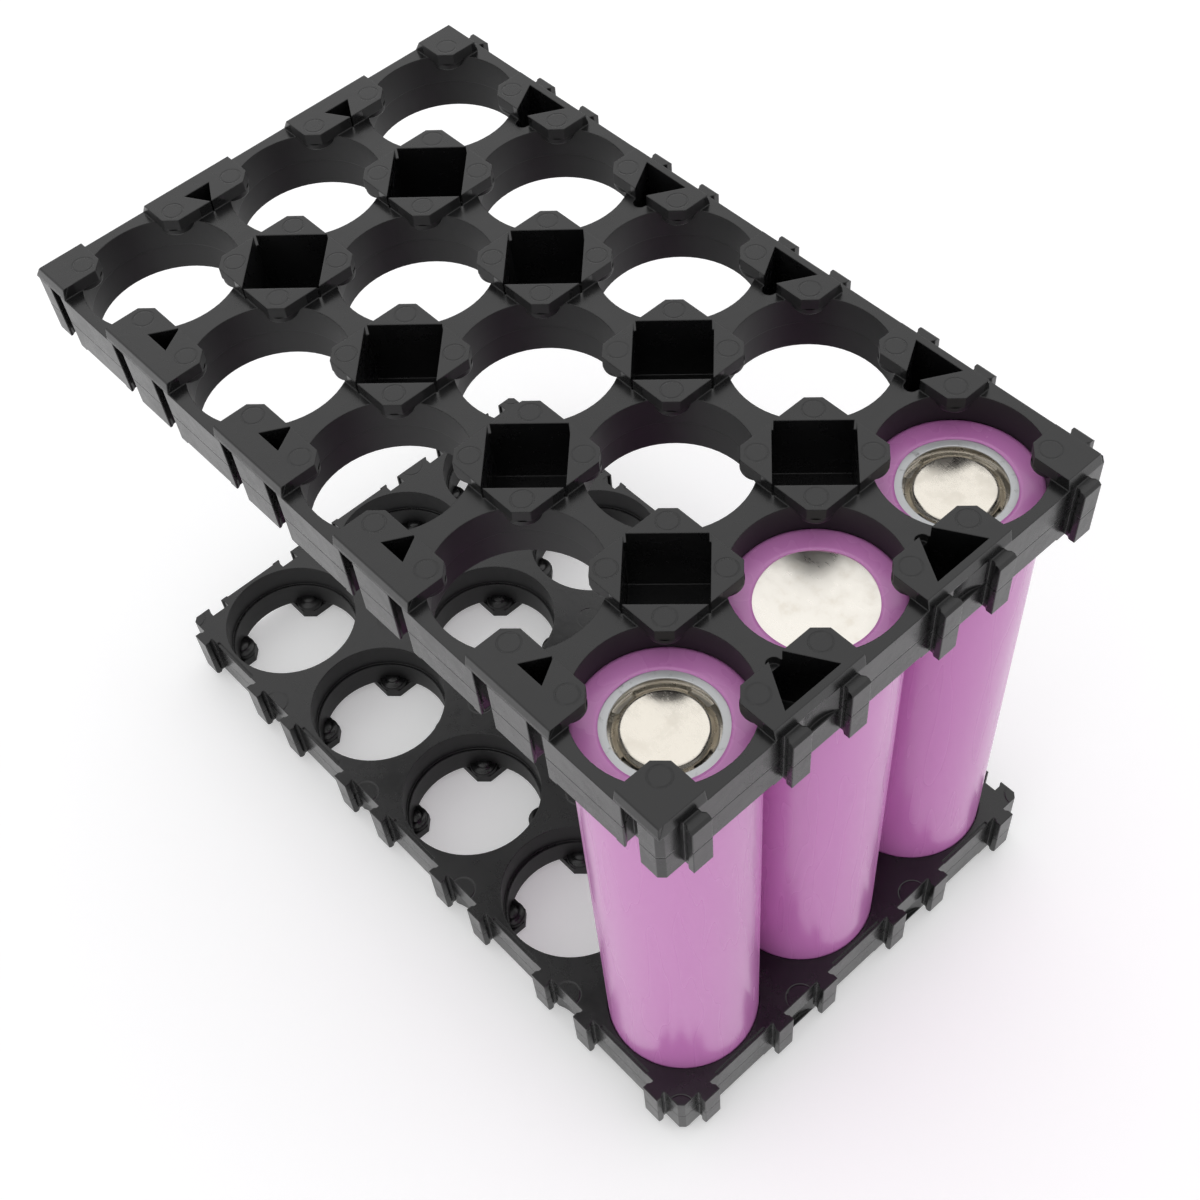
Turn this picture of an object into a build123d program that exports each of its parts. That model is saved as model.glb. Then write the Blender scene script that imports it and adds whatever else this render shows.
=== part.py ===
from build123d import *
import os
from math import radians, sqrt, tan

# A 3 by 5 pack of cylindrical cells: two identical moulded brackets, one turned over,
# and a row of three wrapped cells held between them. Lengths are in millimetres.
# The pack stands on the plates of its lower bracket: +X runs along the five columns,
# +Y along the three rows and +Z up, with the origin in the middle of its foot.

# Cell
CELL_DIAMETER = 18.4
CELL_LENGTH = 65.2
CELL_EDGE = 0.7
WRAP_THICKNESS = 0.15
WRAP_OPENING_RADIUS = 6.4
INSULATOR_THICKNESS = 0.25
INSULATOR_OPENING_RADIUS = 5.7
CAP_WELL_DEPTH = 1.3
CAP_WELL_RADIUS = 6.0
CAP_SHEET = 0.35
CAP_BUTTON_RADIUS = 4.4
CAP_BUTTON_HEIGHT = 1.2
CAP_SKIRT_SPREAD = 0.5
CAP_CLEARANCE = 0.1
CAP_VENTS = 4
CAP_VENT_WIDTH = 2.6

# Grid of sockets
COLUMNS = 5
ROWS = 3
SOCKET_CLEARANCE = 0.1
WEB_THICKNESS = 1.6
SOCKET_DEPTH = 3.7
SHOULDER_WIDTH = 0.45

# Bracket body
BODY_HEIGHT = 7.4
WELL_FLOOR = 0.8
POST_CHAMFER = 0.6
RIM_RELIEF_WIDTH = 8.2
RIM_RELIEF_DEPTH = 0.25
RIM_RELIEF_REACH = 0.4

# Retaining plates
PLATE_THICKNESS = 1.4
STRIP_CHANNEL_WIDTH = 8.5
TIP_OVERHANG = 1.9
WELL_BREAKOUT = 0.15
SLOTTED_SIDE_BEVEL = 0.9
PRONGED_SIDE_BEVEL = 0.3
LONG_PRONGED_SIDE_STEP = 0.8

# Wells in the plates along the walls
WELL_FLANK_ANGLE = 30
SLOTTED_SIDE_WELL_INSET = 3.0
LONG_PRONGED_SIDE_WELL_INSET = 1.9
SHORT_PRONGED_SIDE_WELL_INSET = 1.1
PRONGED_SIDE_WELL_MOUTH = 1.6
MOUTH_NOTCH_DEPTH = 1.0

# Dovetail joints between neighbouring packs
PRONG_OFFSET = 3.84
PRONG_REACH = 1.4
PRONG_NECK_WIDTH = 1.9
PRONG_HEAD_WIDTH = 2.4
PRONG_NECK_LENGTH = 0.35
PRONG_HEAD_LENGTH = 0.7
PRONG_STOP = 0.2
PRONG_LEAD_IN = 0.3
PRONG_ROOT = 0.5
JOINT_CLEARANCE = 0.12
SCOOP_HALF_WIDTH = 2.45
SCOOP_DEPTH = 0.55

# Worked out from the values above
CELL_RADIUS = CELL_DIAMETER / 2
SOCKET_RADIUS = CELL_RADIUS + SOCKET_CLEARANCE
MOUTH_RADIUS = SOCKET_RADIUS - SHOULDER_WIDTH
PITCH = 2 * SOCKET_RADIUS + WEB_THICKNESS
LENGTH = COLUMNS * PITCH
WIDTH = ROWS * PITCH
BRACKET_HEIGHT = BODY_HEIGHT + PLATE_THICKNESS
PLATE_HALF_WIDTH = (PITCH - STRIP_CHANNEL_WIDTH) / 2
WELL_REACH = PLATE_HALF_WIDTH + WELL_BREAKOUT
CELL_SEAT = BRACKET_HEIGHT - SOCKET_DEPTH
UPPER_ENTRY = CELL_SEAT + CELL_LENGTH - SOCKET_DEPTH
GRID_CENTRE_X = -PRONG_REACH / 2

# Each wall: its turn about Z from +Y, the cells along it and the cells across the pack.
PRONGED_WALLS = ((0, COLUMNS, ROWS), (-90, ROWS, COLUMNS))
SLOTTED_WALLS = ((180, COLUMNS, ROWS), (90, ROWS, COLUMNS))


def polygon(points):
    """A face bounded by straight lines through the points."""
    return make_face(Polyline(*points, close=True))


def wall_frame(turn, across):
    """The frame of a wall: +Y points out of it, and X runs along it from its middle."""
    return Rot(0, 0, turn) * Pos(0, across * PITCH / 2, 0)


def cell_stations(along):
    """Places along a wall that lie opposite a cell's axis."""
    return [(k - (along - 1) / 2) * PITCH for k in range(along)]


def web_stations(along):
    """Places along a wall between two cells."""
    return [(k - along / 2) * PITCH for k in range(1, along)]


def joint_stations(along):
    """Places of the prongs or slots: a pair at each web, and a single one near each end."""
    return [x + side * (PITCH / 2 - PRONG_OFFSET) for x in cell_stations(along) for side in (-1, 1)]


def prong_profile():
    """Plan of a prong: a narrow neck that flares to its head, rooted behind the wall."""
    neck = PRONG_NECK_WIDTH / 2
    head = PRONG_HEAD_WIDTH / 2
    flank = [
        (neck, -PRONG_ROOT),
        (neck, PRONG_NECK_LENGTH),
        (head, PRONG_HEAD_LENGTH),
        (head, PRONG_REACH),
    ]
    return polygon(flank + [(-x, y) for x, y in reversed(flank)])


def slot_profile():
    """Plan of the slot that a neighbour's prong slides into, with clearance all round."""
    neck = PRONG_NECK_WIDTH / 2 + JOINT_CLEARANCE
    head = PRONG_HEAD_WIDTH / 2 + JOINT_CLEARANCE
    flank = [
        (neck, PRONG_ROOT),
        (neck, -PRONG_NECK_LENGTH + JOINT_CLEARANCE),
        (head, -PRONG_HEAD_LENGTH + JOINT_CLEARANCE),
        (head, -PRONG_REACH - JOINT_CLEARANCE),
    ]
    return polygon(flank + [(-x, y) for x, y in reversed(flank)])


def along_walls(walls, stations, shape):
    """Copies of a shape at every station of the given walls."""
    return [
        wall_frame(turn, across) * Pos(x, 0, 0) * shape
        for turn, along, across in walls
        for x in stations(along)
    ]


def body():
    """The slab of sockets: full bores below the shoulder, narrower mouths above it."""
    outline = chamfer(Rectangle(LENGTH, WIDTH).vertices(), POST_CHAMFER)
    outline -= along_walls(SLOTTED_WALLS, joint_stations, slot_profile())
    sockets = GridLocations(PITCH, PITCH, COLUMNS, ROWS)
    scoop_radius = (SCOOP_HALF_WIDTH**2 + SCOOP_DEPTH**2) / (2 * SCOOP_DEPTH)
    scoop = Pos(0, scoop_radius - SCOOP_DEPTH) * Circle(scoop_radius)
    lower = outline - sockets * Circle(SOCKET_RADIUS)
    upper = outline - sockets * Circle(MOUTH_RADIUS)
    upper -= along_walls(PRONGED_WALLS, web_stations, scoop)
    slab = extrude(lower, SOCKET_DEPTH)
    slab += Pos(0, 0, SOCKET_DEPTH) * extrude(upper, BODY_HEIGHT - SOCKET_DEPTH)
    relief = Box(RIM_RELIEF_WIDTH, 2 * RIM_RELIEF_REACH, 2 * RIM_RELIEF_DEPTH)
    return slab - along_walls(PRONGED_WALLS + SLOTTED_WALLS, cell_stations, relief)


def plates():
    """Clipped square plates over the webs, whose tips hold the cells in, with bevelled outer edges."""
    tip = (PITCH - (MOUTH_RADIUS - TIP_OVERHANG) * sqrt(2)) * sqrt(2)
    plate = Rectangle(2 * PLATE_HALF_WIDTH, 2 * PLATE_HALF_WIDTH) & Rot(0, 0, 45) * Rectangle(tip, tip)
    sheet = Sketch() + GridLocations(PITCH, PITCH, COLUMNS + 1, ROWS + 1) * plate
    width = WIDTH - LONG_PRONGED_SIDE_STEP
    foot = Pos(0, -LONG_PRONGED_SIDE_STEP / 2) * Rectangle(LENGTH, width)
    lean = (SLOTTED_SIDE_BEVEL - PRONGED_SIDE_BEVEL) / 2
    narrowing = SLOTTED_SIDE_BEVEL + PRONGED_SIDE_BEVEL
    top = Pos(lean, lean - LONG_PRONGED_SIDE_STEP / 2, PLATE_THICKNESS) * Rectangle(
        LENGTH - narrowing, width - narrowing
    )
    envelope = loft([foot, top])
    return Pos(0, 0, BODY_HEIGHT) * (extrude(sheet, PLATE_THICKNESS) & envelope)


def trapezoid(inset):
    """Plan of a well that widens from its narrow inner mouth towards a wall."""
    mouth = PRONGED_SIDE_WELL_MOUTH / 2
    wide = mouth + (WELL_REACH - inset) * tan(radians(WELL_FLANK_ANGLE))
    return polygon([(-mouth, -WELL_REACH), (mouth, -WELL_REACH), (wide, -inset), (-wide, -inset)])


def wells():
    """Blind wells: square ones inside the grid, three- and four-sided ones along the walls."""
    slope = tan(radians(WELL_FLANK_ANGLE))
    square = Rot(0, 0, 45) * Rectangle(WELL_REACH * sqrt(2), WELL_REACH * sqrt(2))
    base = (WELL_REACH - SLOTTED_SIDE_WELL_INSET) * slope
    triangle = polygon([(0, -WELL_REACH), (base, -SLOTTED_SIDE_WELL_INSET), (-base, -SLOTTED_SIDE_WELL_INSET)])
    plan = Sketch() + GridLocations(PITCH, PITCH, COLUMNS - 1, ROWS - 1) * square
    plan += along_walls(SLOTTED_WALLS, web_stations, triangle)
    plan += along_walls(PRONGED_WALLS[:1], web_stations, trapezoid(LONG_PRONGED_SIDE_WELL_INSET))
    plan += along_walls(PRONGED_WALLS[1:], web_stations, trapezoid(SHORT_PRONGED_SIDE_WELL_INSET))
    notch = Pos(0, -WELL_REACH) * Circle(PRONGED_SIDE_WELL_MOUTH / 2)
    notches = Sketch() + along_walls(PRONGED_WALLS, web_stations, notch)
    cut = Pos(0, 0, WELL_FLOOR) * extrude(plan, BRACKET_HEIGHT)
    return cut + Pos(0, 0, BODY_HEIGHT - MOUTH_NOTCH_DEPTH) * extrude(notches, BRACKET_HEIGHT)


def prong():
    """A standing prong whose outer edge is bevelled at the top, to lead it into a slot."""
    rail = extrude(prong_profile(), BODY_HEIGHT - PRONG_STOP)
    edge = rail.edges().group_by(Axis.Z)[-1].sort_by(Axis.Y)[-1]
    return chamfer(edge, PRONG_LEAD_IN)


def bracket():
    """One moulded bracket, with its cell entry face at Z = 0 and its plates on top."""
    part = body() + plates() + along_walls(PRONGED_WALLS, joint_stations, prong())
    return part - wells()


def disc(radius, bottom, top):
    """A round solid about Z between two heights."""
    return Pos(0, 0, bottom) * extrude(Circle(radius), top - bottom)


def can():
    """The sealed steel can with its contents, and the well for the cap inside its crimped rim."""
    top = CELL_LENGTH - WRAP_THICKNESS - INSULATOR_THICKNESS
    shell = disc(CELL_RADIUS - WRAP_THICKNESS, WRAP_THICKNESS, top)
    shell = chamfer(shell.edges().filter_by(GeomType.CIRCLE), CELL_EDGE - WRAP_THICKNESS)
    return shell - disc(CAP_WELL_RADIUS, top - CAP_WELL_DEPTH, CELL_LENGTH)


def wrap():
    """The heat-shrunk sleeve: a thin tube, folded in over both bevelled ends of the can."""
    sleeve = disc(CELL_RADIUS, 0, CELL_LENGTH)
    sleeve = chamfer(sleeve.edges().filter_by(GeomType.CIRCLE), CELL_EDGE)
    hollow = disc(CELL_RADIUS - WRAP_THICKNESS, WRAP_THICKNESS, CELL_LENGTH - WRAP_THICKNESS)
    hollow = chamfer(hollow.edges().filter_by(GeomType.CIRCLE), CELL_EDGE - WRAP_THICKNESS)
    return sleeve - hollow - disc(WRAP_OPENING_RADIUS, 0, CELL_LENGTH)


def insulator():
    """The card ring on the crimped rim, under the fold of the sleeve."""
    top = CELL_LENGTH - WRAP_THICKNESS
    card = disc(CELL_RADIUS - CELL_EDGE, top - INSULATOR_THICKNESS, top)
    return card - disc(INSULATOR_OPENING_RADIUS, 0, CELL_LENGTH)


def cap():
    """The pressed positive cap: a raised button on a flange, with vent windows round its wall."""
    floor = CELL_LENGTH - WRAP_THICKNESS - INSULATOR_THICKNESS - CAP_WELL_DEPTH
    foot = CAP_BUTTON_RADIUS + CAP_SKIRT_SPREAD
    top = floor + CAP_BUTTON_HEIGHT
    section = polygon([
        (0, top),
        (CAP_BUTTON_RADIUS, top),
        (foot, floor + CAP_SHEET),
        (CAP_WELL_RADIUS - CAP_CLEARANCE, floor + CAP_SHEET),
        (CAP_WELL_RADIUS - CAP_CLEARANCE, floor),
        (foot - CAP_SHEET, floor),
        (CAP_BUTTON_RADIUS - CAP_SHEET, top - CAP_SHEET),
        (0, top - CAP_SHEET),
    ])
    pressing = revolve(Plane.XZ * section, Axis.Z)
    window = Pos(foot, 0, floor + CAP_SHEET) * extrude(
        Rectangle(2 * CAP_SHEET + 2 * CAP_SKIRT_SPREAD, CAP_VENT_WIDTH), CAP_BUTTON_HEIGHT - 2 * CAP_SHEET
    )
    return pressing - PolarLocations(0, CAP_VENTS) * window


def write(name, solid):
    """Write one node's solid as a STEP file named after it."""
    export_step(solid, os.path.join("parts", name + ".step"))


os.makedirs("parts", exist_ok=True)

moulding = bracket()
write("upper_bracket", Pos(GRID_CENTRE_X, 0, UPPER_ENTRY) * moulding)
write("lower_bracket", Pos(GRID_CENTRE_X, 0, BRACKET_HEIGHT) * Rot(180, 0, 0) * moulding)

upright = Pos(0, 0, CELL_SEAT)
turned = Pos(0, 0, CELL_SEAT + CELL_LENGTH) * Rot(180, 0, 0)
column_x = GRID_CENTRE_X + (COLUMNS - 1) / 2 * PITCH
pieces = {"can": can(), "wrap": wrap(), "insulator": insulator(), "cap": cap()}
for row in range(ROWS):
    place = Pos(column_x, (row - (ROWS - 1) / 2) * PITCH, 0)
    pose = turned if row % 2 else upright
    for piece, solid in pieces.items():
        write(f"cell_{row + 1}_{piece}", place * pose * solid)
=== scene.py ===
"""Finishes, fine pieces, light and camera for a pack of cells held between two moulded brackets.

The frame holds two identical brackets, five sockets by three, one turned over, and a row of three
wrapped cells. This script dresses the brackets in moulded black plastic, adds the lips and pads
of their plates, and replaces the sleeves, rim rings and caps of the cells with finely divided
pressed and shrunk surfaces.
"""

import logging
import math
from collections.abc import Callable, Sequence
from dataclasses import dataclass, field
from enum import Enum

import bmesh
import bpy
import numpy as np
from mathutils import Matrix, Vector


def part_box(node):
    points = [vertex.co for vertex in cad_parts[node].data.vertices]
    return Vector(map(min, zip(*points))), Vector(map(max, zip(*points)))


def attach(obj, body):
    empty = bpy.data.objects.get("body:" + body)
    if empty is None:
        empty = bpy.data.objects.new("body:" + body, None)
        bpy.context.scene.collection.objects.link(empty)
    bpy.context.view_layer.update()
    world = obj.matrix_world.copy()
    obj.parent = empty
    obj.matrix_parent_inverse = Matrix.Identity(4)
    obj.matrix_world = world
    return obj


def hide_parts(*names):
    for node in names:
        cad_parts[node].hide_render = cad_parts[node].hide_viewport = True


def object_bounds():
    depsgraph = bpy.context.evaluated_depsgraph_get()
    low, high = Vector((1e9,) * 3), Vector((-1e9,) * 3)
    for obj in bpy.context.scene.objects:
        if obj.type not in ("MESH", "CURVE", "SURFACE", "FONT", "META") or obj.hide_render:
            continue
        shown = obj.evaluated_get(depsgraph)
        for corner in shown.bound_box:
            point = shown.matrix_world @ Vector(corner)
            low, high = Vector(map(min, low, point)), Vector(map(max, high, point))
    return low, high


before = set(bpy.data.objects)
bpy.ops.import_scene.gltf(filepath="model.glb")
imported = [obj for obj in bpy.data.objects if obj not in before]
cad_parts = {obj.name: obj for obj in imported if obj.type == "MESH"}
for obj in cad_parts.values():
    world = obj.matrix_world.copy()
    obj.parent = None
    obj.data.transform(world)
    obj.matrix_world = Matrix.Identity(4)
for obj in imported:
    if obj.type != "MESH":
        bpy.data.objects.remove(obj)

LOG = logging.getLogger("cell_pack")
MM = 0.001
TURN = 2 * math.pi
CAD_BOX = [[float(v) for v in corner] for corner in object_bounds()]

Colour = tuple[float, float, float, float]
Socket = bpy.types.NodeSocket
WHITE = (1.0, 1.0, 1.0, 1.0)


class Slot(Enum):
    """Material slots of the record, one for each kind of finish of the new pieces; nothing in the script
    reads them.
    """

    PLASTIC = "black_plastic"
    SLEEVE = "shrink_wrap"
    CARD = "insulator_card"
    NICKEL = "nickel_cap"


class Attitude(Enum):
    """Which way a cell's positive end points."""

    UPRIGHT = 1
    TURNED = -1


class Face(Enum):
    """Which side of a bracket looks up."""

    PLATES_UP = 1
    SOCKETS_UP = -1


# ---------------------------------------------------------------- surfaces


@dataclass
class Surface:
    """A mesh held as arrays: corners as rows of x, y, z, and faces as rows of corner numbers."""

    points: np.ndarray
    faces: np.ndarray

    def moved(self, transform: Matrix) -> "Surface":
        """Return the surface carried by a 4 by 4 transform.

        Args:
            transform: Turn and shift, applied to every corner.

        Returns:
            The carried surface, with the same faces.
        """
        matrix = np.array(transform)
        return Surface(self.points @ matrix[:3, :3].T + matrix[:3, 3], self.faces)

    def repeated(self, transforms: Sequence[Matrix]) -> "Surface":
        """Return one surface made of copies of this one.

        Args:
            transforms: Turn and shift of each copy.

        Returns:
            The copies, with the corners of each numbered on from the last.
        """
        copies = [self.moved(transform).points for transform in transforms]
        steps = np.arange(len(copies))[:, None, None] * len(self.points)
        return Surface(np.vstack(copies), (self.faces[None] + steps).reshape(-1, self.faces.shape[1]))

    def to_object(self, name: str, finish: bpy.types.Material, smooth: bool = True) -> bpy.types.Object:
        """Make an object at the origin, with doubles merged and faces turned outwards.

        Args:
            name: Name of the object and of its mesh.
            finish: Material for the whole surface.
            smooth: Whether the faces are shaded as one rounded skin.

        Returns:
            The object, linked to the scene.
        """
        mesh = bpy.data.meshes.new(name)
        mesh.from_pydata(self.points.tolist(), [], self.faces.tolist())
        shaped = bmesh.new()
        shaped.from_mesh(mesh)
        bmesh.ops.remove_doubles(shaped, verts=shaped.verts, dist=1e-7)
        bmesh.ops.dissolve_degenerate(shaped, edges=shaped.edges, dist=1e-8)
        bmesh.ops.recalc_face_normals(shaped, faces=shaped.faces)
        shaped.to_mesh(mesh)
        shaped.free()
        if smooth:
            mesh.shade_smooth()
        mesh.materials.append(finish)
        piece = bpy.data.objects.new(name, mesh)
        bpy.context.scene.collection.objects.link(piece)
        return piece


def arc(centre: tuple[float, float], radius: float, start: float, end: float, steps: int) -> np.ndarray:
    """Points along a round stretch of a section.

    Formula: centre plus radius times the cosine and sine of evenly spaced angles.

    Args:
        centre: Centre of the arc, as distance from the axis and height.
        radius: Radius of the arc.
        start: First angle in degrees, counted from the outward direction.
        end: Last angle in degrees.
        steps: Number of points.

    Returns:
        An array of shape (steps, 2).
    """
    angles = np.radians(np.linspace(start, end, steps))
    return np.array(centre) + radius * np.column_stack([np.cos(angles), np.sin(angles)])


def lathe(
    section: np.ndarray,
    segments: int,
    shape: Callable[[np.ndarray, np.ndarray, np.ndarray], tuple[np.ndarray, np.ndarray]] | None = None,
) -> Surface:
    """Turn a closed section about the Z axis.

    Formula: each section point (r, z) gives the circle (r cos a, r sin a, z), and shape may first
    change r and z as functions of r, z and the angle a.

    Args:
        section: Points (r, z) round the section, of shape (n, 2), with the last joined to the first.
        segments: Number of steps round the axis.
        shape: Optional change of the radius and height arrays over the whole grid.

    Returns:
        The turned surface, closed both ways.
    """
    angle = np.linspace(0, TURN, segments, endpoint=False)[:, None]
    radius = np.broadcast_to(section[:, 0], (segments, len(section)))
    height = np.broadcast_to(section[:, 1], (segments, len(section)))
    if shape is not None:
        radius, height = shape(radius, height, angle)
    points = np.stack([radius * np.cos(angle), radius * np.sin(angle), height + 0 * angle], axis=-1)
    number = np.arange(segments * len(section)).reshape(segments, len(section))
    right = np.roll(number, -1, axis=0)
    above = np.roll(number, -1, axis=1)
    corner = np.roll(right, -1, axis=1)
    faces = np.stack([number, right, corner, above], axis=-1)
    return Surface(points.reshape(-1, 3), faces.reshape(-1, 4))


# ---------------------------------------------------------------- finishes


class Graph:
    """A material's node tree, with short calls that add nodes and join them."""

    def __init__(self, name: str) -> None:
        """Start an empty tree in a new material."""
        self.material = bpy.data.materials.new(name)
        self.material.use_nodes = True
        self.tree = self.material.node_tree
        self.tree.nodes.clear()

    def add(self, kind: str, inputs: dict | None = None, **settings: object) -> bpy.types.Node:
        """Add a node, set its properties, and fill or join its inputs.

        Args:
            kind: Blender's type name of the node.
            inputs: Input name or number, to a plain value or to the socket that feeds it.
            **settings: Properties of the node itself.

        Returns:
            The new node.
        """
        node = self.tree.nodes.new(kind)
        for key, value in settings.items():
            setattr(node, key, value)
        for key, value in (inputs or {}).items():
            if isinstance(value, Socket):
                self.tree.links.new(value, node.inputs[key])
            else:
                node.inputs[key].default_value = value
        return node

    def maths(self, operation: str, *values: object) -> Socket:
        """Return the result of one arithmetic step on numbers or sockets."""
        node = self.add("ShaderNodeMath", dict(enumerate(values)), operation=operation)
        return node.outputs[0]

    def ramp(self, value: object, low: float, high: float, to_low: float, to_high: float) -> Socket:
        """Return a value eased from one range to another, and held at its ends."""
        inputs = {"Value": value, "From Min": low, "From Max": high, "To Min": to_low, "To Max": to_high}
        node = self.add("ShaderNodeMapRange", inputs, interpolation_type="SMOOTHSTEP")
        return node.outputs["Result"]

    def offset(self, value: object, middle: object) -> Socket:
        """Return how far a value lies from a middle, whichever side it is on."""
        return self.maths("ABSOLUTE", self.maths("SUBTRACT", value, middle))

    def parts(self, vector: Socket) -> Sequence[Socket]:
        """Return the x, y and z of a vector."""
        return self.add("ShaderNodeSeparateXYZ", {0: vector}).outputs

    def stretched(self, place: Socket, scale: Sequence[float], turn: float = 0.0) -> Socket:
        """Return a place turned about the vertical and scaled along each axis."""
        inputs = {"Vector": place, "Rotation": (0.0, 0.0, turn), "Scale": scale}
        return self.add("ShaderNodeMapping", inputs).outputs[0]

    def noise(self, place: Socket, scale: float, detail: float, roughness: float = 0.5) -> Socket:
        """Return cloudy noise at a number of blotches a metre."""
        inputs = {"Vector": place, "Scale": scale, "Detail": detail, "Roughness": roughness}
        return self.add("ShaderNodeTexNoise", inputs).outputs["Fac"]

    def mix(self, share: object, first: object, second: object) -> Socket:
        """Return a blend of two colours."""
        node = self.add("ShaderNodeMix", data_type="RGBA")
        for number, value in ((0, share), (6, first), (7, second)):
            if isinstance(value, Socket):
                self.tree.links.new(value, node.inputs[number])
            else:
                node.inputs[number].default_value = value
        return node.outputs[2]

    def bump(self, height: Socket, depth: float, normal: object = None) -> Socket:
        """Return a normal pushed about by a height of the given depth in metres."""
        inputs = {"Height": height, "Distance": depth, "Strength": 1.0}
        if normal is not None:
            inputs["Normal"] = normal
        return self.add("ShaderNodeBump", inputs).outputs["Normal"]

    def finish(self, shader: bpy.types.Node) -> bpy.types.Material:
        """Join the shader to the output and return the material."""
        self.add("ShaderNodeOutputMaterial", {"Surface": shader.outputs[0]})
        return self.material


@dataclass(frozen=True)
class Grid:
    """Where one bracket's grid of sockets lies, and the heights of its faces."""

    pitch: float
    corner: tuple[float, float]
    columns: int
    rows: int
    plate_level: float
    socket_level: float
    lipped_wall_y: float
    seam_share: float = 0.42
    wall_skin: float = 0.7 * MM
    bore_reach: float = 9.45 * MM

    @property
    def seam_level(self) -> float:
        """Height of the mould seam, where the bores narrow to their mouths."""
        return self.socket_level + self.seam_share * (self.plate_level - self.socket_level)

    @property
    def middle(self) -> tuple[float, float]:
        """Middle of the grid."""
        across, along = self.corner
        return (across + self.columns * self.pitch / 2, along + self.rows * self.pitch / 2)

    @property
    def inner_half(self) -> tuple[float, float]:
        """Distances from the middle to just inside the outer walls."""
        across, along = self.columns * self.pitch / 2, self.rows * self.pitch / 2
        return (across - self.wall_skin, along - self.wall_skin)

    def sockets(self) -> np.ndarray:
        """Return the centres of the sockets as rows of x and y."""
        steps = (np.arange(self.columns) + 0.5, np.arange(self.rows) + 0.5)
        across, along = np.meshgrid(*steps, indexing="ij")
        return np.array(self.corner) + self.pitch * np.column_stack([across.ravel(), along.ravel()])


@dataclass(frozen=True)
class Mark:
    """A round witness mark: its place from a web's middle, its radius and its face's height."""

    centre: tuple[float, float]
    radius: float
    level: float


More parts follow.
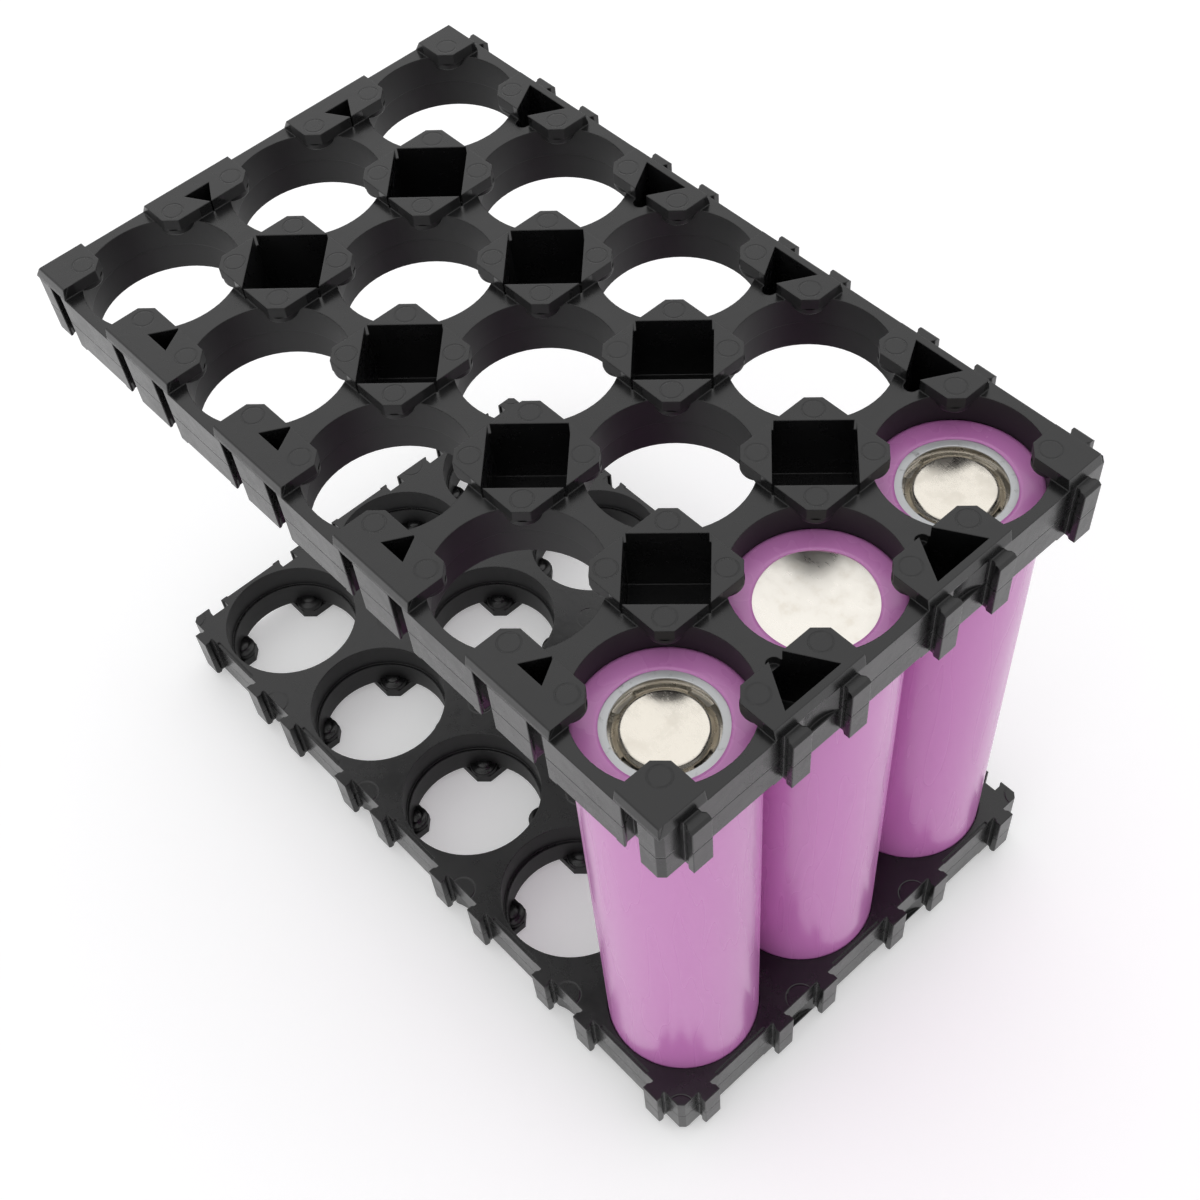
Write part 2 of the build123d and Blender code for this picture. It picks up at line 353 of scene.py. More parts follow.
@dataclass(frozen=True)
class MouldedPlastic:
    """Black moulded plastic: soft edges, faint flow clouds, dull bores, a seam and ejector marks."""

    colour: Colour = (0.0045, 0.0045, 0.0048, 1.0)
    cloud: Colour = (0.0075, 0.0075, 0.0078, 1.0)
    smooth: float = 0.2
    rough: float = 0.33
    bore_rough: float = 0.58
    upright_limit: float = 0.6
    edge_radius: float = 0.2 * MM
    flow_depth: float = 0.12 * MM
    streak_depth: float = 0.008 * MM
    mark_depth: float = 0.1 * MM
    mark_width: float = 0.15 * MM
    mark_reach: float = 0.1 * MM
    seam_depth: float = 0.08 * MM
    seam_width: float = 0.14 * MM
    lip_reach: float = 1.6 * MM
    level_reach: float = 0.02 * MM

    def material(self, name: str, grid: Grid, marks: Sequence[Mark]) -> bpy.types.Material:
        """Build the plastic for one bracket.

        Args:
            name: Name of the material.
            grid: Place of the bracket's grid of sockets, its mould seam and its lips.
            marks: The round witness marks of the ejector pins.

        Returns:
            The material.
        """
        graph = Graph(name)
        place = graph.add("ShaderNodeTexCoord").outputs["Object"]
        flow = graph.noise(place, 90.0, 4.0, 0.6)
        scuff = graph.noise(place, 700.0, 5.0, 0.7)
        streak = graph.noise(graph.stretched(place, (1.0, 1.0, 0.05)), 800.0, 3.0, 0.6)
        colour = graph.mix(graph.ramp(flow, 0.4, 0.7, 0.0, 1.0), self.colour, self.cloud)
        wear = graph.maths("ADD", flow, graph.maths("MULTIPLY", scuff, 0.5))
        gloss = graph.ramp(wear, 0.5, 1.0, self.smooth, self.rough)
        folded = self.folded(graph, place, grid)
        bore = self.bore_share(graph, folded, grid)
        duller = graph.maths("MULTIPLY", bore, graph.maths("SUBTRACT", self.bore_rough, gloss))
        gloss = graph.maths("ADD", gloss, duller)
        soft = self.soft_edges(graph, place, grid)
        height = self.mark_height(graph, place, folded, grid, marks)
        normal = graph.bump(height, self.mark_depth, soft)
        normal = graph.bump(self.seam_height(graph, place, grid), self.seam_depth, normal)
        normal = graph.bump(flow, self.flow_depth, normal)
        normal = graph.bump(streak, self.streak_depth, normal)
        inputs = {
            "Base Color": colour,
            "Roughness": gloss,
            "Normal": normal,
            "Specular IOR Level": 0.5,
            "IOR": 1.5,
        }
        return graph.finish(graph.add("ShaderNodeBsdfPrincipled", inputs))

    def folded(self, graph: Graph, place: Socket, grid: Grid) -> list[Socket]:
        """Return the place folded into one quarter of a web, in shares of the pitch.

        Formula: the distance, along x and along y, to the nearest web's centre.
        """
        corner = {0: place, 1: (*grid.corner, 0.0)}
        shifted = graph.add("ShaderNodeVectorMath", corner, operation="SUBTRACT").outputs[0]
        share = {0: shifted, 1: (1 / grid.pitch,) * 3}
        units = graph.add("ShaderNodeVectorMath", share, operation="MULTIPLY").outputs[0]
        return [graph.offset(part, graph.maths("ROUND", part)) for part in graph.parts(units)[:2]]

    def distance(
        self, graph: Graph, folded: Sequence[Socket], centre: tuple[float, float], pitch: float
    ) -> Socket:
        """Return the distance of the folded place from a centre, by the rule for right angles."""
        squares = [
            graph.maths("POWER", graph.offset(part, middle / pitch), 2.0)
            for part, middle in zip(folded, centre)
        ]
        return graph.maths("MULTIPLY", graph.maths("SQRT", graph.maths("ADD", *squares)), pitch)

    def bore_share(self, graph: Graph, folded: Sequence[Socket], grid: Grid) -> Socket:
        """Return 1 on the walls of the sockets, which the core pins leave duller, and 0 elsewhere."""
        off = self.distance(graph, folded, (grid.pitch / 2, grid.pitch / 2), grid.pitch)
        facing = graph.parts(graph.add("ShaderNodeNewGeometry").outputs["Normal"])[2]
        upright = graph.maths("LESS_THAN", graph.maths("ABSOLUTE", facing), self.upright_limit)
        return graph.maths("MULTIPLY", upright, graph.maths("LESS_THAN", off, grid.bore_reach))

    def soft_edges(self, graph: Graph, place: Socket, grid: Grid) -> Socket:
        """Return a normal that rounds every edge, apart from those that a lip piece carries on.

        Formula: the rounded normal gives way to the plain one where the distance to the lipped wall
        is under the lip's reach and the height is that of the plates' outer face.
        """
        soft = graph.add("ShaderNodeBevel", {"Radius": self.edge_radius}, samples=6).outputs["Normal"]
        plain = graph.add("ShaderNodeNewGeometry").outputs["Normal"]
        parts = graph.parts(place)
        near = graph.maths("LESS_THAN", graph.offset(parts[1], grid.lipped_wall_y), self.lip_reach)
        flat = graph.maths("LESS_THAN", graph.offset(parts[2], grid.plate_level), self.level_reach)
        share = graph.maths("MULTIPLY", near, flat)
        mixer = graph.add("ShaderNodeMix", data_type="VECTOR")
        for number, value in ((0, share), (4, soft), (5, plain)):
            graph.tree.links.new(value, mixer.inputs[number])
        return mixer.outputs[1]

    def seam_height(self, graph: Graph, place: Socket, grid: Grid) -> Socket:
        """Return the height of the mould seam that runs round the outer walls.

        Formula: an eased groove where the height is that of the seam, kept to places that lie within
        a wall's thickness of the outer walls.
        """
        parts = graph.parts(place)
        groove = graph.ramp(graph.offset(parts[2], grid.seam_level), 0.0, self.seam_width, -1.0, 0.0)
        outside = [
            graph.maths("GREATER_THAN", graph.offset(part, middle), half)
            for part, middle, half in zip(parts, grid.middle, grid.inner_half)
        ]
        return graph.maths("MULTIPLY", groove, graph.maths("MAXIMUM", *outside))

    def mark_height(
        self,
        graph: Graph,
        place: Socket,
        folded: Sequence[Socket],
        grid: Grid,
        marks: Sequence[Mark],
    ) -> Socket:
        """Return the height of the marks: grooves along the circles round the marks' centres.

        Formula: in the folded place one centre stands for the four round every web, and each groove
        is an eased band of the distance to it.
        """
        level = graph.parts(place)[2]
        total = None
        for mark in marks:
            distance = self.distance(graph, folded, mark.centre, grid.pitch)
            groove = graph.ramp(graph.offset(distance, mark.radius), 0.0, self.mark_width, -1.0, 0.0)
            near = graph.maths("LESS_THAN", graph.offset(level, mark.level), self.mark_reach)
            groove = graph.maths("MULTIPLY", groove, near)
            total = groove if total is None else graph.maths("ADD", total, groove)
        return total


@dataclass(frozen=True)
class ShrinkFilm:
    """Glossy shrunk film, gently uneven along the cell, with a little light passing into it."""

    colour: Colour = (0.6, 0.2, 0.53, 1.0)
    pale: Colour = (0.64, 0.23, 0.57, 1.0)
    roughness: float = 0.26
    wave_depth: float = 0.06 * MM
    peel_depth: float = 0.0015 * MM

    def material(self, name: str) -> bpy.types.Material:
        """Build the film: cloudy colour, with slow waves and a fine peel drawn out along the cell."""
        graph = Graph(name)
        place = graph.add("ShaderNodeTexCoord").outputs["Object"]
        drawn = graph.stretched(place, (1.0, 1.0, 0.12))
        cloud = graph.noise(drawn, 45.0, 1.0)
        peel = graph.noise(drawn, 400.0, 1.0)
        colour = graph.mix(graph.ramp(cloud, 0.35, 0.65, 0.0, 1.0), self.colour, self.pale)
        normal = graph.bump(cloud, self.wave_depth)
        normal = graph.bump(peel, self.peel_depth, normal)
        gloss = graph.ramp(peel, 0.3, 0.7, self.roughness - 0.04, self.roughness + 0.05)
        inputs = {
            "Base Color": colour,
            "Roughness": gloss,
            "Normal": normal,
            "Subsurface Weight": 0.08,
            "Subsurface Radius": (0.002, 0.001, 0.002),
            "Subsurface Scale": 0.5,
            "Coat Weight": 0.15,
            "Coat Roughness": 0.12,
        }
        return graph.finish(graph.add("ShaderNodeBsdfPrincipled", inputs))


@dataclass(frozen=True)
class NickelPlate:
    """Warm nickel plating with handling stains, fine scratches and a satin face."""

    colour: Colour = (0.74, 0.71, 0.655, 1.0)
    stain: Colour = (0.6, 0.54, 0.45, 1.0)
    smooth: float = 0.27
    rough: float = 0.36
    stain_share: float = 0.4
    uneven: float = 0.001 * MM
    scratch_depth: float = 0.003 * MM

    def material(self, name: str) -> bpy.types.Material:
        """Build the plating: cloudy stains, speckles and hair scratches that run one way."""
        graph = Graph(name)
        place = graph.add("ShaderNodeTexCoord").outputs["Object"]
        cloud = graph.noise(place, 420.0, 6.0, 0.65)
        speck = graph.noise(place, 2600.0, 3.0, 0.6)
        scratch = graph.noise(graph.stretched(place, (1.0, 14.0, 1.0), 0.6), 500.0, 4.0, 0.7)
        dirt = graph.maths("MULTIPLY", graph.ramp(cloud, 0.5, 0.72, 0.0, 1.0), self.stain_share)
        dots = graph.ramp(speck, 0.66, 0.74, 0.0, 0.25)
        colour = graph.mix(graph.maths("MAXIMUM", dirt, dots), self.colour, self.stain)
        wear = graph.maths("ADD", cloud, graph.maths("MULTIPLY", scratch, 0.4))
        gloss = graph.ramp(wear, 0.55, 0.85, self.smooth, self.rough)
        normal = graph.bump(scratch, self.scratch_depth)
        normal = graph.bump(cloud, self.uneven, normal)
        inputs = {"Base Color": colour, "Metallic": 1.0, "Roughness": gloss, "Normal": normal}
        return graph.finish(graph.add("ShaderNodeBsdfPrincipled", inputs))


@dataclass(frozen=True)
class RimCard:
    """Pale grey card pressed over the crimp, smudged where it has been handled."""

    colour: Colour = (0.55, 0.56, 0.57, 1.0)
    smudge: Colour = (0.28, 0.28, 0.28, 1.0)
    roughness: float = 0.38
    uneven: float = 0.02 * MM

    def material(self, name: str) -> bpy.types.Material:
        """Build the card: smudges in clouds over a slightly shiny face."""
        graph = Graph(name)
        place = graph.add("ShaderNodeTexCoord").outputs["Object"]
        cloud = graph.noise(place, 700.0, 5.0, 0.7)
        colour = graph.mix(graph.ramp(cloud, 0.56, 0.74, 0.0, 1.0), self.colour, self.smudge)
        inputs = {
            "Base Color": colour,
            "Roughness": self.roughness,
            "Normal": graph.bump(cloud, self.uneven),
            "Metallic": 0.35,
        }
        return graph.finish(graph.add("ShaderNodeBsdfPrincipled", inputs))


# ---------------------------------------------------------------- brackets


@dataclass
class Bracket:
    """One moulded bracket of the frame, with the lips, pads and witness marks of its plates."""

    node: str
    face: Face
    columns: int = 5
    rows: int = 3
    prong_reach: float = 1.4 * MM
    tab_mark_place: float = 4.04 * MM
    tab_mark_radius: float = 1.15 * MM
    web_mark_radius: float = 1.7 * MM
    plate_thickness: float = 1.4 * MM
    plate_half_width: float = 5.85 * MM
    cut_bevel: float = 0.9 * MM
    end_bevel: float = 0.3 * MM
    lip_lean: float = 0.25 * MM
    lip_round: float = 0.22 * MM
    lip_steps: int = 9
    pad_place: float = 5.5 * MM
    pad_radius: float = 1.92 * MM
    pad_back: float = 0.8 * MM
    pad_height: float = 0.75 * MM
    pad_pip_radius: float = 1.05 * MM
    pad_pip_height: float = 0.4 * MM
    pad_segments: int = 40

    def grid(self) -> Grid:
        """Return the bracket's grid, worked out from the box of its node."""
        low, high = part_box(self.node)
        pitch = (high.x - low.x - self.prong_reach) / self.columns
        upright = self.face is Face.PLATES_UP
        corner_y = low.y if upright else high.y - self.rows * pitch
        plate_level, socket_level = (high.z, low.z) if upright else (low.z, high.z)
        wall = low.y if upright else high.y
        corner = (low.x, corner_y)
        return Grid(pitch, corner, self.columns, self.rows, plate_level, socket_level, wall)

    def lips(self, grid: Grid) -> Surface:
        """Build the firm outer edges of the plates along the slotted long wall.

        Formula: a section that rises from the wall, bends over in an arc and runs in to the plate's
        top is carried along the wall over each plate. At the two corner plates its end leans with
        the height, as the plate's own bevel does.

        Args:
            grid: Place of the bracket's grid.

        Returns:
            The lips of all the plates along that wall.
        """
        bend_centre = (self.lip_lean + self.lip_round, self.plate_thickness - self.lip_round)
        bend = arc(bend_centre, self.lip_round, 170, 90, 6)
        inner = np.array([[self.cut_bevel, self.plate_thickness]])
        section = np.vstack([[[0.0, 0.0]], bend, inner])
        share = section[:, 1] / self.plate_thickness
        spans = []
        for web in range(self.columns + 1):
            centre = grid.corner[0] + web * grid.pitch
            start = np.full(len(section), centre - self.plate_half_width)
            end = np.full(len(section), centre + self.plate_half_width)
            if web == 0:
                start = grid.corner[0] + share * self.cut_bevel
            if web == self.columns:
                end = centre - share * self.end_bevel
            spans.append((start, end))
        outward = 1 if self.face is Face.PLATES_UP else -1
        count = len(section)
        rows, faces = [], []
        for number, (start, end) in enumerate(spans):
            along = np.linspace(0, 1, self.lip_steps)[:, None]
            x = start + along * (end - start)
            y = grid.lipped_wall_y + outward * np.broadcast_to(section[:, 0], x.shape)
            sunk = section[:, 1] - self.plate_thickness
            z = grid.plate_level + outward * np.broadcast_to(sunk, x.shape)
            rows.append(np.stack([x, y, z], axis=-1).reshape(-1, 3))
            index = np.arange(x.size).reshape(x.shape) + number * x.size
            near, far = index[:-1], index[1:]
            side = np.stack([near, far, np.roll(far, -1, axis=1), np.roll(near, -1, axis=1)], axis=-1)
            fan = np.arange(1, count - 1)
            caps = [
                np.stack([np.full(count - 2, ring[0]), ring[fan], ring[fan + 1], ring[fan + 1]], axis=-1)
                for ring in (index[0], index[-1])
            ]
            faces.append(np.vstack([side.reshape(-1, 4), *caps]))
        return Surface(np.vstack(rows), np.vstack(faces))

    def pads(self, grid: Grid) -> Surface:
        """Build the rounded pads with a raised pip under the tips of the plates.

        Formula: rings about the pad's axis, each a circle cut off straight behind the axis, rise
        with a rounded shoulder to the top face, and then to the pip.

        Args:
            grid: Place of the bracket's grid.

        Returns:
            Four pads for every socket.
        """
        steps = (
            (self.pad_radius, 0.0),
            (self.pad_radius, 0.7 * self.pad_height),
            (0.97 * self.pad_radius, 0.9 * self.pad_height),
            (0.88 * self.pad_radius, self.pad_height),
            (1.06 * self.pad_pip_radius, self.pad_height),
            (self.pad_pip_radius, self.pad_height + 0.7 * self.pad_pip_height),
            (0.9 * self.pad_pip_radius, self.pad_height + self.pad_pip_height),
            (0.0, self.pad_height + self.pad_pip_height),
        )
        angle = np.linspace(0, TURN, self.pad_segments, endpoint=False)[:, None]
        back = np.where(np.cos(angle) < 0, self.pad_back / np.maximum(-np.cos(angle), 1e-6), 1.0)
        radius = np.minimum(np.array([step[0] for step in steps]), back)
        height = np.broadcast_to(np.array([step[1] for step in steps]), radius.shape)
        points = np.stack([radius * np.cos(angle), radius * np.sin(angle), height], axis=-1)
        number = np.arange(height.size).reshape(height.shape)
        far = np.roll(number, -1, axis=0)
        faces = np.stack([number[:, :-1], far[:, :-1], far[:, 1:], number[:, 1:]], axis=-1)
        pad = Surface(points.reshape(-1, 3), faces.reshape(-1, 4))
        inward = -1 if self.face is Face.PLATES_UP else 1
        level = grid.plate_level + inward * self.plate_thickness
        flip = Matrix.Rotation(math.pi, 4, "X") if inward < 0 else Matrix.Identity(4)
        reach = grid.pitch / math.sqrt(2) - self.pad_place
        places = []
        for x, y in grid.sockets():
            for quarter in range(4):
                turn = math.radians(45 + 90 * quarter)
                spot = (x + reach * math.cos(turn), y + reach * math.sin(turn), level)
                places.append(Matrix.Translation(spot) @ Matrix.Rotation(turn + math.pi, 4, "Z") @ flip)
        return pad.repeated(places)

    def build(self, plastic: MouldedPlastic) -> None:
        """Give the bracket its plastic, its lips and its pads.

        Args:
            plastic: The finish to build the material from.
        """
        grid = self.grid()
        marks = (
            Mark((self.tab_mark_place,) * 2, self.tab_mark_radius, grid.plate_level),
            Mark((0.0, 0.0), self.web_mark_radius, grid.socket_level),
        )
        finish = plastic.material(self.node + "_plastic", grid, marks)
        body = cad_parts[self.node]
        body.data.materials.clear()
        body.data.materials.append(finish)
        fittings = ((self.lips(grid), "lips", False), (self.pads(grid), "pads", True))
        for surface, name, smooth in fittings:
            piece = surface.to_object(f"{self.node}_{name}", finish, smooth)
            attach(piece, "root")
            LOG.info("%s: %d faces", piece.name, len(piece.data.polygons))
        LOG.info("%s: plastic on a grid of %.2f mm", self.node, grid.pitch / MM)


# ---------------------------------------------------------------- cells


@dataclass
class Cell:
    """One wrapped cell: a shrunk sleeve, a card ring and a pressed cap round the sealed can."""

    number: int
    attitude: Attitude
    film: float = 0.11 * MM
    shoulder: float = 0.75 * MM
    sleeve_opening: float = 6.2 * MM
    bottom_opening: float = 6.2 * MM
    card_opening: float = 5.35 * MM
    card_thickness: float = 0.22 * MM
    button_radius: float = 4.55 * MM
    button_edge: float = 0.6 * MM
    crown: float = 0.12 * MM
    cap_depth: float = 1.35 * MM
    sheet: float = 0.3 * MM
    window_count: int = 4
    window_share: float = 0.34
    window_turn: float = 0.12
    skirt_radius: float = 5.15 * MM
    flange_overlap: float = 0.35 * MM
    cap_sink: float = 0.2 * MM
    card_sink: float = 0.06 * MM
    edge_sink: float = 0.03 * MM
    soft_edge: float = 0.05 * MM
    segments: int = 192
    low: Vector = field(init=False)
    high: Vector = field(init=False)

    def __post_init__(self) -> None:
        """Read the place of the cell from the frame."""
        self.low, self.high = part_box(self.node("wrap"))

    def node(self, piece: str) -> str:
        """Return the name of one of the cell's nodes."""
        return f"cell_{self.number}_{piece}"

    @property
    def radius(self) -> float:
        """Outer radius of the sleeve."""
        return (self.high.x - self.low.x) / 2

    @property
    def length(self) -> float:
        """Length of the cell over its sleeve."""
        return self.high.z - self.low.z

    def placed(self, surface: Surface) -> Surface:
        """Return a surface carried from the cell's own frame, positive end up, to its place.

        Args:
            surface: A surface with its foot at the origin.

        Returns:
            The surface in the frame of the pack.
        """
        centre = (self.low + self.high) / 2
        upright = self.attitude is Attitude.UPRIGHT
        turn = Matrix.Identity(4) if upright else Matrix.Rotation(math.pi, 4, "X")
        foot = Matrix.Translation((0, 0, -self.length / 2))
        return surface.moved(Matrix.Translation(centre) @ turn @ foot)

    def sleeve(self) -> Surface:
        """Build the sleeve: a thin closed section turned about the axis.

        Formula: up the outside, round the shoulder and in to the edge of the opening, then back one
        film thickness inside. Near each opening the film ripples by a few hundredths of a
        millimetre, as a sum of sines of the angle that fades towards the shoulder.

        Returns:
            The sleeve in the cell's own frame.
        """
        outer, inner = self.radius, self.radius - self.film
        round_out, round_in = self.shoulder, self.shoulder - self.film
        low_centre = (outer - round_out, round_out)
        high_centre = (outer - round_out, self.length - round_out)
        flat = np.linspace(0, 1, 6)[1:, None]
        top_edge = np.array([[self.sleeve_opening, self.length - self.edge_sink]])
        foot_edge = np.array([[self.bottom_opening, self.edge_sink]])
        side = np.linspace(round_out, self.length - round_out, 14)[1:-1]
        outside = np.vstack([
            arc(low_centre, round_out, -90, 0, 9),
            np.column_stack([np.full(len(side), outer), side]),
            arc(high_centre, round_out, 0, 90, 9),
        ])
        top = outside[-1] + flat * (top_edge - outside[-1])
        foot = foot_edge + np.linspace(0, 1, 6)[:-1, None] * (outside[0] - foot_edge)
        inside = np.vstack([
            [[self.sleeve_opening, self.length - self.film]],
            arc(high_centre, round_in, 90, 0, 7),
            arc(low_centre, round_in, 0, -90, 7),
            [[self.bottom_opening, self.film]],
        ])
        section = np.vstack([outside, top, inside, foot])

        def ripple(
            radius: np.ndarray, height: np.ndarray, angle: np.ndarray
        ) -> tuple[np.ndarray, np.ndarray]:
            """Sink the fold and wander its edge with the angle, more near the opening."""
            bend = outer - round_out
            reach = np.clip((bend - radius) / (bend - self.sleeve_opening), 0, 1)
            phase = self.number * 1.7
            wave = np.sin(3 * angle + phase) + 0.6 * np.sin(7 * angle + 2 * phase) + 0.4 * np.sin(12 * angle)
            end = np.where(height > self.length / 2, -1.0, 1.0)
            sunk = height + end * reach * (0.03 + 0.02 * wave) * MM
            return radius + reach * 0.035 * MM * np.sin(5 * angle + phase), sunk

        return lathe(section, self.segments, ripple)

    def card(self) -> Surface:
        """Build the card ring under the fold: a flat section with softly rounded inner edges."""
        top = self.length - self.film - self.card_sink
        half = self.card_thickness / 2
        rim = self.radius - self.shoulder
        section = np.vstack([
            arc((self.card_opening + half, top - half), half, 270, 90, 7),
            [[rim, top], [rim, top - self.card_thickness]],
        ])
        return lathe(section, self.segments)

    def cap(self) -> Surface:
        """Build the pressed cap: a button with a rounded edge, legs, and windows between them.

        Formula: the section runs out along the button, round its edge, down a flared skirt and out
        along the flange. Faces of the skirt are left out where the angle lies in a window.

        Returns:
            The upper skin of the cap in the cell's own frame, to be thickened by a modifier.
        """
        top = self.length - self.film - self.cap_sink
        flange_level = top - self.cap_depth + self.sheet
        edge_centre = (self.button_radius - self.button_edge, top - self.crown - self.button_edge)
        spokes = np.linspace(0, edge_centre[0], 12)[:-1]
        button = np.column_stack([spokes, top - self.crown * (spokes / edge_centre[0]) ** 4])
        shoulder = arc(edge_centre, self.button_edge, 90, 30, 7)
        share = np.linspace(0, 1, 9)[1:]
        fall = (1 - np.cos(math.pi * share ** 0.8)) / 2
        drop = np.array([self.skirt_radius, flange_level]) - shoulder[-1]
        skirt = shoulder[-1] + np.column_stack([share, fall]) * drop
        reach = np.linspace(self.skirt_radius, self.card_opening + self.flange_overlap, 4)[1:]
        flange = np.column_stack([reach, np.full(len(reach), flange_level)])
        section = np.vstack([button, shoulder, skirt, flange])
        angle = np.linspace(0, TURN, self.segments, endpoint=False)[:, None]
        radius, height = section[:, 0], section[:, 1]
        points = np.stack([radius * np.cos(angle), radius * np.sin(angle), height + 0 * angle], axis=-1)
        count = len(section)
        number = np.arange(self.segments * count).reshape(self.segments, count)
        nearer, farther = number[:, :-1], np.roll(number, -1, axis=0)[:, :-1]
        faces = np.stack([nearer, farther, farther + 1, nearer + 1], axis=-1)
        turn_share = (angle / TURN * self.window_count + self.window_turn) % 1.0
        ring = np.arange(count - 1)
        first_open, last_open = len(button) + len(shoulder) + 2, count - 2
        open_face = (turn_share < self.window_share) & (ring >= first_open) & (ring < last_open)
        return Surface(points.reshape(-1, 3), faces[~open_face])

    def build(
        self,
        sleeve_finish: bpy.types.Material,
        card_finish: bpy.types.Material,
        cap_finish: bpy.types.Material,
        can_finish: bpy.types.Material,
    ) -> None:
        """Make the cell's fine pieces, hang them on the frame and dress the can.

        Args:
            sleeve_finish: Material of the shrunk film.
            card_finish: Material of the card ring.
            cap_finish: Material of the cap.
            can_finish: Material of the can.
        """
        sleeve = self.placed(self.sleeve()).to_object(self.node("sleeve"), sleeve_finish)
        card = self.placed(self.card()).to_object(self.node("rim_card"), card_finish)
        cap = self.placed(self.cap()).to_object(self.node("pressed_cap"), cap_finish)
        thick = cap.modifiers.new("sheet", "SOLIDIFY")
        thick.thickness = self.sheet
        thick.offset = -1.0
        soft = cap.modifiers.new("soft", "BEVEL")
        soft.width = self.soft_edge
        soft.segments = 2
        soft.limit_method = "ANGLE"
        for piece, node, slot in (
            (sleeve, "wrap", Slot.SLEEVE),
            (card, "insulator", Slot.CARD),
            (cap, "cap", Slot.NICKEL),
        ):
            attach(piece, "root")
            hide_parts(self.node(node))
            LOG.info("%s stands for %s", piece.name, self.node(node))
        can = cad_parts[self.node("can")]
        can.data.materials.clear()
        can.data.materials.append(can_finish)


# ---------------------------------------------------------------- studio


@dataclass(frozen=True)
class Lamp:
    """A square soft lamp: where it hangs, the length of its side, and its power in watts."""

    name: str
    place: tuple[float, float, float]
    size: float
    power: float


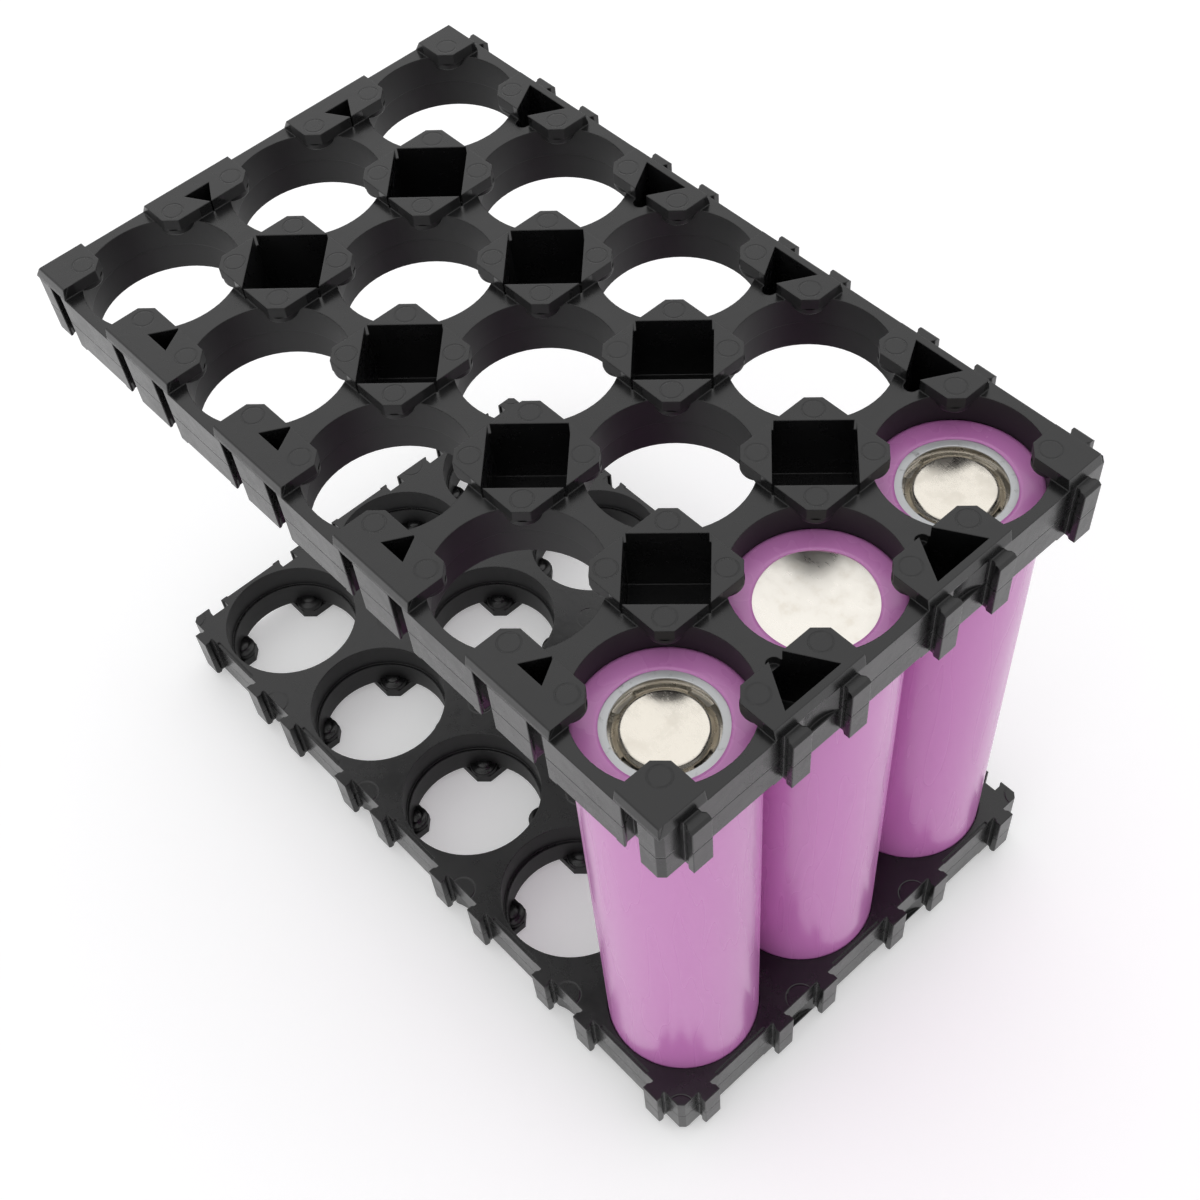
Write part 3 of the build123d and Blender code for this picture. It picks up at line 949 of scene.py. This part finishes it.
@dataclass
class Studio:
    """A pale floor under soft daylight-like lamps, and the camera above the pack's near corner."""

    pitch: float = 20.2 * MM
    azimuth: float = 52.23
    elevation: float = 56.37
    roll: float = 6.03
    focal: float = 1703.7
    shift: tuple[float, float] = (-0.0179, 0.0832)
    station: tuple[float, float, float] = (5.2020, -3.7127, 6.2933)
    floor_colour: Colour = (0.86, 0.86, 0.865, 1.0)
    floor_glow: float = 0.27
    floor_half: float = 4.0
    floor_gap: float = 0.02 * MM
    sky: float = 0.8
    prong_reach: float = 1.4 * MM
    sensor: float = 36.0
    frame_width: float = 1200.0
    aim: tuple[float, float, float] = (0.0, 0.0, 0.03)
    lamps: tuple[Lamp, ...] = (
        Lamp("overhead_lamp", (-0.25, 0.3, 1.1), 1.6, 2.4),
        Lamp("side_lamp", (0.1, -0.9, 0.4), 0.7, 0.8),
    )

    def camera(self) -> bpy.types.Object:
        """Place the camera.

        Formula: the view direction comes from the azimuth and elevation, the picture's right from
        its cross product with the vertical, and the roll turns both about the view.

        Returns:
            The camera object.
        """
        azimuth, elevation = math.radians(self.azimuth), math.radians(self.elevation)
        level = math.cos(elevation)
        heading = (-math.sin(azimuth) * level, math.cos(azimuth) * level)
        view = Vector((*heading, -math.sin(elevation)))
        right = view.cross(Vector((0, 0, 1))).normalized()
        up = right.cross(view)
        turned = math.radians(self.roll)
        right, up = (
            math.cos(turned) * right - math.sin(turned) * up,
            math.sin(turned) * right + math.cos(turned) * up,
        )
        low, high = (Vector(corner) for corner in CAD_BOX)
        grid_x = (low.x + high.x) / 2 - self.prong_reach / 2
        place = Vector((grid_x, 0.0, high.z)) + self.pitch * Vector(self.station)
        lens = bpy.data.cameras.new("camera")
        lens.sensor_width = self.sensor
        lens.lens = self.focal * self.sensor / self.frame_width
        lens.shift_x, lens.shift_y = self.shift
        lens.clip_start, lens.clip_end = 0.01, 10.0
        camera = bpy.data.objects.new("camera", lens)
        turn = Matrix((right, up, -view)).transposed().to_4x4()
        camera.matrix_world = Matrix.Translation(place) @ turn
        bpy.context.scene.collection.objects.link(camera)
        bpy.context.scene.camera = camera
        return camera

    def floor(self) -> bpy.types.Object:
        """Lay the floor: a wide pale sheet just under the foot of the pack.

        Returns:
            The floor object.
        """
        half, level = self.floor_half, CAD_BOX[0][2] - self.floor_gap
        outline = ((-half, -half), (half, -half), (half, half), (-half, half))
        corners = np.array([(x, y, level) for x, y in outline])
        graph = Graph("pale_floor")
        rays = graph.add("ShaderNodeLightPath").outputs
        seen = graph.maths("MAXIMUM", rays["Is Camera Ray"], rays["Is Glossy Ray"])
        matt = graph.add("ShaderNodeBsdfDiffuse", {"Color": self.floor_colour})
        strength = graph.maths("MULTIPLY", seen, self.floor_glow)
        glow = graph.add("ShaderNodeEmission", {"Color": WHITE, "Strength": strength})
        both = graph.add("ShaderNodeAddShader", {0: matt.outputs[0], 1: glow.outputs[0]})
        sheet = Surface(corners, np.array([[0, 1, 2, 3]])).to_object("floor", graph.finish(both))
        return sheet

    def world(self) -> None:
        """Light the pack from all round, and show plain white to the camera and in reflections."""
        sky = bpy.data.worlds.new("sky")
        sky.use_nodes = True
        tree = sky.node_tree
        tree.nodes.clear()
        rays = tree.nodes.new("ShaderNodeLightPath").outputs
        seen = tree.nodes.new("ShaderNodeMath")
        seen.operation = "MAXIMUM"
        tree.links.new(rays["Is Camera Ray"], seen.inputs[0])
        tree.links.new(rays["Is Glossy Ray"], seen.inputs[1])
        strength = tree.nodes.new("ShaderNodeMapRange")
        strength.inputs["To Min"].default_value = self.sky
        strength.inputs["To Max"].default_value = 1.0
        tree.links.new(seen.outputs[0], strength.inputs["Value"])
        shade = tree.nodes.new("ShaderNodeBackground")
        shade.inputs["Color"].default_value = WHITE
        tree.links.new(strength.outputs[0], shade.inputs["Strength"])
        output = tree.nodes.new("ShaderNodeOutputWorld")
        tree.links.new(shade.outputs[0], output.inputs["Surface"])
        bpy.context.scene.world = sky

    def hang(self, lamp: Lamp) -> None:
        """Hang one soft lamp that looks at the pack.

        Args:
            lamp: The lamp to hang.
        """
        light = bpy.data.lights.new(lamp.name, "AREA")
        light.shape = "SQUARE"
        light.size = lamp.size
        light.energy = lamp.power
        hung = bpy.data.objects.new(lamp.name, light)
        aim = Vector(self.aim) - Vector(lamp.place)
        turn = aim.to_track_quat("-Z", "Y").to_matrix().to_4x4()
        hung.matrix_world = Matrix.Translation(lamp.place) @ turn
        bpy.context.scene.collection.objects.link(hung)

    def build(self) -> None:
        """Build the floor, the sky, the lamps and the camera."""
        scene = bpy.context.scene
        scene.view_settings.view_transform = "Standard"
        self.floor()
        self.world()
        for lamp in self.lamps:
            self.hang(lamp)
        self.camera()


def main() -> None:
    """Dress the brackets and cells, set the studio, and note the size of what was made."""
    logging.basicConfig(level=logging.INFO, format="%(name)s: %(message)s")
    plastic = MouldedPlastic()
    Bracket("upper_bracket", Face.PLATES_UP).build(plastic)
    Bracket("lower_bracket", Face.SOCKETS_UP).build(plastic)
    film = ShrinkFilm().material("shrunk_film")
    card = RimCard().material("rim_card")
    cap = NickelPlate(
        colour=(0.68, 0.64, 0.57, 1.0),
        stain=(0.42, 0.36, 0.28, 1.0),
        smooth=0.2,
        rough=0.34,
        stain_share=0.15,
    ).material("cap_nickel")
    can = NickelPlate().material("can_nickel")
    for number, attitude in ((1, Attitude.UPRIGHT), (2, Attitude.TURNED), (3, Attitude.UPRIGHT)):
        Cell(number, attitude).build(film, card, cap, can)
    Studio().build()


if __name__ == "__main__":
    main()
